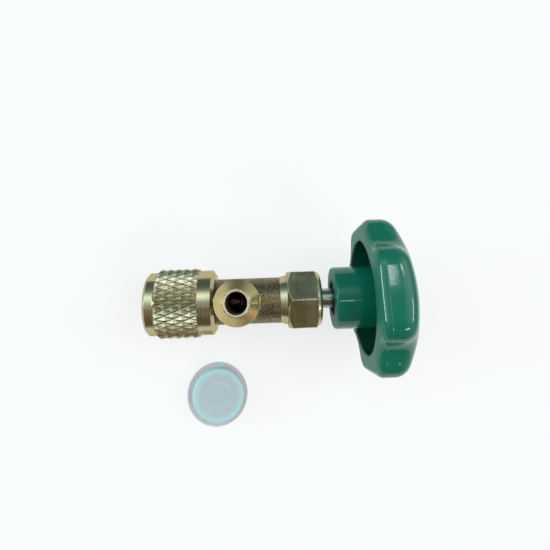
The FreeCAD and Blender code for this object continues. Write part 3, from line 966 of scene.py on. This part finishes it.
class Piece:
    """A CAD node of the valve, kept as it is or replaced by a detailed copy of itself."""

    def __init__(self, node: str, slot: str) -> None:
        """Find the node.

        Args:
            node: The node's name.
            slot: The record's material slot for this piece; not used.
        """
        self.node = node
        self.slot = slot
        self.cad: bpy.types.Object = frame["nodes"][node]

    def dress(self, material: bpy.types.Material) -> None:
        """Give the CAD node itself a finish.

        Args:
            material: The finish.
        """
        self.cad.data.materials.clear()
        self.cad.data.materials.append(material)
        LOG.info("%s keeps its CAD mesh in %s", self.node, material.name)

    def detail(
        self,
        name: str,
        axes: Axes,
        threads: list[Thread],
        materials: list[bpy.types.Material],
        choose: Callable[[Vector], int],
        sharp_deg: float = 28.0,
        worn: Wear | None = None,
    ) -> None:
        """Replace the CAD node by a copy with real threads and a finish for each kind of face.

        Args:
            name: Name of the new piece.
            axes: The valve's frame.
            threads: The threads to cut.
            materials: The finishes.
            choose: Function from a face's middle, in the valve's frame, to a finish's number.
            sharp_deg: Angle above which an edge shows as an edge.
            worn: The corners to round in the mesh, if any.
        """
        mesh = bmesh.new()
        mesh.from_mesh(self.cad.data)
        mesh.transform(axes.matrix().inverted())
        bmesh.ops.remove_doubles(mesh, verts=mesh.verts, dist=MERGE_MM)
        for thread in threads:
            thread.cut_into(mesh)
        if worn:
            worn.round_off(mesh)
        for face in mesh.faces:
            face.smooth = True
            face.material_index = choose(face.calc_center_median())
        for edge in mesh.edges:
            if len(edge.link_faces) == 2:
                edge.smooth = edge.calc_face_angle(0.0) < math.radians(sharp_deg)
        mesh.transform(axes.matrix())
        made = bpy.data.meshes.new(name)
        mesh.to_mesh(made)
        mesh.free()
        for material in materials:
            made.materials.append(material)
        piece = bpy.data.objects.new(name, made)
        bpy.context.scene.collection.objects.link(piece)
        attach(piece, self.cad["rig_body"])
        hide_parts(self.node)
        LOG.info("%s replaces %s: %d faces, %d threads",
                 name, self.node, len(made.polygons), len(threads))


class Assembly:
    """A sub-assembly of the valve; its fields are its sizes."""

    def build(self, axes: Axes, finishes: Finishes) -> None:
        """Dress the pieces, or replace them by detailed copies.

        Args:
            axes: The valve's frame.
            finishes: All finishes.
        """
        raise NotImplementedError


@dataclass
class Tee(Assembly):
    """The forged and turned brass tee."""

    forging_r: float = 5.80
    neck_x: float = -5.75
    collar_x: float = 10.50
    port_boss_z: float = 6.75
    port_boss_r: float = 5.05
    thread_r: float = 5.556
    thread_start_z: float = 8.45
    thread_end_z: float = 11.20
    thread_pitch: float = 1.27
    port_bore_r: float = 2.64
    port_bore_from_z: float = 3.0
    lead_in_r: float = 3.12
    lead_in_from_z: float = 13.20
    bore_r: float = 4.6
    flash_width: float = 1.70
    flash_margin: float = 0.05

    def surface(self, middle: Vector) -> int:
        """Number of a face's finish.

        Args:
            middle: Middle of the face, in the valve's frame.

        Returns:
            0 forged, 1 turned about the bore, 2 turned about the port, 3 drilled, 4 trimmed flash,
            5 the port's lead-in.
        """
        radius = math.hypot(middle.y, middle.z)
        port_radius = math.hypot(middle.x, middle.y)
        if middle.z > self.port_bore_from_z and port_radius < self.port_bore_r + NEAR_MM:
            return 3
        if middle.z > self.lead_in_from_z and port_radius < self.lead_in_r:
            return 5
        if middle.z > self.port_boss_z - NEAR_MM:
            return 2
        if middle.x < self.neck_x + NEAR_MM or middle.x > self.collar_x - NEAR_MM:
            return 1
        if radius < self.bore_r:
            return 3
        on_flash = (abs(middle.y) < self.flash_width / 2 + self.flash_margin
                    and radius > self.forging_r + NEAR_MM)
        return 4 if on_flash and port_radius > self.port_boss_r else 0

    def build(self, axes: Axes, finishes: Finishes) -> None:
        """Replace the body by its copy with the flare's thread.

        Args:
            axes: The valve's frame.
            finishes: All finishes.
        """
        flare = Thread(
            self.thread_r, self.thread_pitch, self.thread_start_z, self.thread_end_z, TurnAxis.PORT)
        Piece("valve_body", "forged_brass").detail(
            "tee_body", axes, [flare],
            [finishes.forged, finishes.turned_bore, finishes.turned_port, finishes.drilled,
             finishes.trimmed, finishes.lead_in], self.surface)


@dataclass
class SwivelNut(Assembly):
    """The knurled swivel nut, its inside thread and what it holds."""

    left_band_end_x: float = -21.00
    knurl_end_x: float = -10.05
    knurl_least_r: float = 8.00
    thread_r: float = 4.95
    thread_start_x: float = -22.95
    thread_end_x: float = -16.55
    thread_pitch: float = 1.27
    thread_groove_share: float = 0.45
    sharp_deg: float = 16.0

    def surface(self, middle: Vector) -> int:
        """Number of a face's finish.

        Args:
            middle: Middle of the face, in the valve's frame.

        Returns:
            0 knurl, 1 turned.
        """
        radius = math.hypot(middle.y, middle.z)
        on_knurl = self.left_band_end_x - NEAR_MM < middle.x < self.knurl_end_x + NEAR_MM
        return 0 if on_knurl and radius > self.knurl_least_r else 1

    def build(self, axes: Axes, finishes: Finishes) -> None:
        """Thread the nut, and dress its wire ring and the inlet gasket.

        Args:
            axes: The valve's frame.
            finishes: All finishes.
        """
        inner = Thread(
            self.thread_r, self.thread_pitch, self.thread_start_x, self.thread_end_x,
            TurnAxis.BORE, inside=True, groove_share=self.thread_groove_share)
        Piece("coupling_nut", "knurled_brass").detail(
            "swivel_nut", axes, [inner], [finishes.knurled, finishes.turned_bore],
            self.surface, self.sharp_deg)
        Piece("nut_retaining_ring", "spring_steel").dress(finishes.spring_steel)
        Piece("inlet_gasket", "gasket_rubber").dress(finishes.gasket)


@dataclass
class Gland(Assembly):
    """The packing nut and the rings below it."""

    hexagon_end_x: float = 19.35
    flats_least_r: float = 6.79
    sharp_deg: float = 24.0

    def surface(self, middle: Vector) -> int:
        """Number of the finish of a face: 0 drawn flats, 1 turned."""
        radius = math.hypot(middle.y, middle.z)
        return 0 if middle.x < self.hexagon_end_x and radius > self.flats_least_r else 1

    def build(self, axes: Axes, finishes: Finishes) -> None:
        """Round the hexagon's corners, and dress the washer, the packing and the follower.

        Args:
            axes: The valve's frame.
            finishes: All finishes.
        """
        Piece("packing_nut", "hex_brass").detail(
            "hexagon_nut", axes, [], [finishes.drawn, finishes.rounded], self.surface,
            self.sharp_deg, Wear())
        Piece("gland_washer", "gland_brass").dress(finishes.turned_bore)
        Piece("stem_packing", "packing_ptfe").dress(finishes.packing)
        Piece("gland_follower", "gland_brass").dress(finishes.turned_bore)


@dataclass
class Spindle(Assembly):
    """The steel stem with its thread and its rubber seal."""

    thread_r: float = 3.90
    thread_start_x: float = 0.70
    thread_end_x: float = 7.20
    thread_pitch: float = 1.25
    seal_collar_x: float = 9.70

    def surface(self, middle: Vector) -> int:
        """Number of the finish of a face: 0 ground, 1 oily thread in painted shade."""
        return 1 if middle.x < self.seal_collar_x else 0

    def build(self, axes: Axes, finishes: Finishes) -> None:
        """Thread the stem and dress its seal.

        Args:
            axes: The valve's frame.
            finishes: All finishes.
        """
        thread = Thread(
            self.thread_r, self.thread_pitch, self.thread_start_x, self.thread_end_x, TurnAxis.BORE)
        Piece("valve_stem", "stem_steel").detail(
            "threaded_stem", axes, [thread], [finishes.stem_steel, finishes.oily_shaded_steel],
            self.surface)
        Piece("stem_o_ring", "seal_rubber").dress(finishes.seal)


class Handwheel(Assembly):
    """The moulded handwheel with its screw and washer."""

    def build(self, axes: Axes, finishes: Finishes) -> None:
        """Dress the wheel, the washer and the screw.

        Args:
            axes: The valve's frame; not used here.
            finishes: All finishes.
        """
        Piece("handwheel", "green_plastic").dress(finishes.green_plastic)
        Piece("wheel_washer", "screw_steel").dress(finishes.plated_steel)
        Piece("wheel_screw", "screw_steel").dress(finishes.plated_steel)


class DustCap(Assembly):
    """The loose moulded cap."""

    def build(self, axes: Axes, finishes: Finishes) -> None:
        """Dress the cap.

        Args:
            axes: The valve's frame; not used here.
            finishes: All finishes.
        """
        Piece("dust_cap", "cap_plastic").dress(finishes.cap_plastic)


@dataclass
class Viewpoint:
    """The camera, at the photograph's viewing angle.

    The turn is the rotation from the valve's frame to the camera's, as an axis times degrees.
    """

    turn_deg: tuple[float, float, float] = (-10.28, -0.61, 2.13)
    right_mm: float = 6.2326
    up_mm: float = 24.2622
    distance_mm: float = 110.7
    focal_px: float = 423.4
    middle_px: tuple[float, float] = (263.8, 208.4)

    def build(self, axes: Axes) -> None:
        """Make the camera and set it on the scene.

        Args:
            axes: The valve's frame.
        """
        turn = Vector(self.turn_deg)
        to_camera = Quaternion(turn.normalized(), math.radians(turn.length)).to_matrix()
        from_camera = axes.turn() @ to_camera.transposed()
        lens = bpy.data.cameras.new("camera")
        lens.lens = self.focal_px * SENSOR_MM / IMAGE_PIXELS
        lens.sensor_width = SENSOR_MM
        lens.shift_x = (IMAGE_PIXELS / 2 - self.middle_px[0]) / IMAGE_PIXELS
        lens.shift_y = (self.middle_px[1] - IMAGE_PIXELS / 2) / IMAGE_PIXELS
        lens.clip_start = MM
        camera = bpy.data.objects.new("camera", lens)
        place = from_camera @ Vector((self.right_mm, self.up_mm, self.distance_mm)) * MM
        camera.matrix_world = Matrix.Translation(axes.origin + place) @ from_camera.to_4x4()
        bpy.context.scene.collection.objects.link(camera)
        bpy.context.scene.camera = camera


@dataclass(frozen=True)
class Panel:
    """A soft panel of light, far away, that fades out at its edge."""

    direction: tuple[float, float, float]
    sharpness: float
    colour: str
    strength: float


@dataclass(frozen=True)
class Lamp:
    """A small bright lamp at a direction from the valve; a brightness of 1 is white."""

    name: str
    direction: tuple[float, float, float]
    size: tuple[float, float]
    brightness: float
    colour: str = "#F4FAFF"


@dataclass
class Studio:
    """Plain pale floor and soft light: a dim room, wide soft panels and a few small lamps."""

    floor_size: float = 0.44
    floor_gap: float = 0.00002
    floor_colour: str = "#F6F6F4"
    shown_share: float = 0.75
    zenith: str = "#6C6C68"
    zenith_from: float = 0.5
    horizon_behind: str = "#58686A"
    horizon_before: str = "#6E6252"
    horizon_span: float = 0.7
    lamp_distance: float = 3.0
    panels: tuple[Panel, ...] = (
        Panel((-0.70, 0.22, 0.68), 14.0, "#DDF2FF", 2.0),
        Panel((-0.22, 0.38, 0.90), 45.0, "#E4F6FF", 2.6),
        Panel((0.74, 0.20, 0.64), 12.0, "#F2FAFF", 2.2),
        Panel((0.38, 0.16, 0.91), 70.0, "#E8FAFF", 1.4),
        Panel((0.82, -0.52, 0.21), 14.0, "#FFE9CC", 0.6),
        Panel((-0.86, 0.40, 0.20), 14.0, "#CFEAFF", 0.9),
        Panel((-0.86, -0.30, 0.40), 16.0, "#FFF4DC", 0.8),
        Panel((0.60, 0.79, 0.14), 16.0, "#ECFFFA", 0.35),
    )
    lamps: tuple[Lamp, ...] = (
        Lamp("lamp_above", (0.085, 0.12, 0.99), (0.12, 0.36), 14.0),
        Lamp("lamp_before", (-0.05, -0.24, 0.97), (0.40, 0.15), 9.0, "#FFFAF0"),
        Lamp("lamp_right", (0.42, 0.15, 0.88), (0.50, 0.18), 12.0),
        Lamp("lamp_far_right", (0.88, -0.07, 0.46), (0.22, 0.40), 16.0),
        Lamp("lamp_front_right", (0.45, -0.60, 0.65), (1.40, 0.28), 14.0),
        Lamp("window_left", (-0.95, 0.05, 0.27), (0.60, 0.60), 18.0, "#D4FAFF"),
    )

    def floor(self) -> None:
        """Make the floor: white to the camera and in reflections, with the valve's shadow."""
        mesh = bpy.data.meshes.new("floor")
        half = self.floor_size / 2
        corners = [(-half, -half), (half, -half), (half, half), (-half, half)]
        mesh.from_pydata([(x, y, -self.floor_gap) for x, y in corners], [], [(0, 1, 2, 3)])
        floor = bpy.data.objects.new("floor", mesh)
        bpy.context.scene.collection.objects.link(floor)
        material = bpy.data.materials.new("pale_paper_floor")
        add = Graph(material).add
        paper = add("BsdfDiffuse", None, {"Color": linear(self.floor_colour)})
        light = add("Emission", None, {"Color": linear("#FFFFFF"), "Strength": 1.0})
        path = add("LightPath").outputs
        shown = path["Is Camera Ray"]
        for ray in ("Is Glossy Ray", "Is Transmission Ray"):
            shown = add("Math", {"operation": "MAXIMUM"}, {0: shown, 1: path[ray]})
        share = add("Math", TIMES, {0: shown, 1: self.shown_share})
        mixed = add("MixShader", None, {0: share, 1: paper, 2: light})
        add("OutputMaterial", None, {"Surface": mixed})
        mesh.materials.append(material)
        floor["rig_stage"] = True

    def sky(self) -> None:
        """Make the room: cooler behind the valve, warmer before it, with its soft panels."""
        world = bpy.data.worlds.new("studio")
        add = Graph(world).add
        here = add("TexCoord").outputs["Generated"]
        parts = add("SeparateXYZ", None, {0: here}).outputs
        side = add("MapRange", None, {
            "Value": parts["Y"], "From Min": -self.horizon_span, "From Max": self.horizon_span})
        low = add("Mix", COLOURS, {
            0: side, 6: linear(self.horizon_before), 7: linear(self.horizon_behind)})
        height = add("MapRange", SMOOTH, {
            "Value": parts["Z"], "From Min": self.zenith_from, "From Max": 1.0})
        room = add("Mix", COLOURS, {0: height, 6: low.outputs[2], 7: linear(self.zenith)})
        total = room.outputs[2]
        for panel in self.panels:
            facing = add("VectorMath", {"operation": "DOT_PRODUCT"}, {
                0: here, 1: Vector(panel.direction).normalized()})
            fall = add("Math", {"operation": "MULTIPLY_ADD"}, {
                0: facing.outputs["Value"], 1: panel.sharpness, 2: -panel.sharpness})
            glow = add("Math", {"operation": "EXPONENT"}, {0: fall})
            power = add("Math", TIMES, {0: glow, 1: panel.strength})
            tinted = add("VectorMath", {"operation": "SCALE"}, {
                0: linear(panel.colour)[:3], "Scale": power})
            total = add("VectorMath", {"operation": "ADD"}, {0: total, 1: tinted})
        light = add("Background", None, {"Color": total, "Strength": 1.0})
        plain = add("Background", None, {"Color": linear(self.floor_colour)})
        seen = add("LightPath").outputs["Is Camera Ray"]
        shown = add("MixShader", None, {0: seen, 1: light, 2: plain})
        add("OutputWorld", None, {"Surface": shown})
        bpy.context.scene.world = world

    def light(self, lamp: Lamp, centre: Vector) -> None:
        """Add one lamp, facing the valve.

        Args:
            lamp: The lamp.
            centre: Middle of the valve.
        """
        data = bpy.data.lights.new(lamp.name, "AREA")
        data.shape = "RECTANGLE"
        data.size, data.size_y = lamp.size
        data.energy = lamp.brightness * math.pi * data.size * data.size_y
        data.color = linear(lamp.colour)[:3]
        made = bpy.data.objects.new(lamp.name, data)
        away = Vector(lamp.direction).normalized()
        made.location = centre + away * self.lamp_distance
        made.rotation_mode = "QUATERNION"
        across = Vector((1, 0, 0)) - away * away.x
        turn = Matrix((across.normalized(), away.cross(across).normalized(), away)).transposed()
        made.rotation_quaternion = turn.to_quaternion()
        bpy.context.scene.collection.objects.link(made)

    def build(self, centre: Vector) -> None:
        """Set up the floor, the room and the lamps.

        Args:
            centre: Middle of the valve.
        """
        self.floor()
        self.sky()
        for lamp in self.lamps:
            self.light(lamp, centre)


def main() -> None:
    """Build every sub-assembly, the studio and the camera."""
    logging.basicConfig(level=logging.INFO, format="%(name)s: %(message)s")
    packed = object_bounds()
    axes = Axes.from_record(frame["record"])
    low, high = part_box("dust_cap")
    finishes = Finishes(Shop(axes), Shop(Axes.upright((Vector(low) + Vector(high)) / 2)))
    for assembly in (Tee(), SwivelNut(), Gland(), Spindle(), Handwheel(), DustCap()):
        assembly.build(axes, finishes)
    Studio().build((packed[0] + packed[1]) / 2)
    Viewpoint().build(axes)
    bpy.context.scene.view_settings.view_transform = "Standard"


if __name__ == "__main__":
    main()
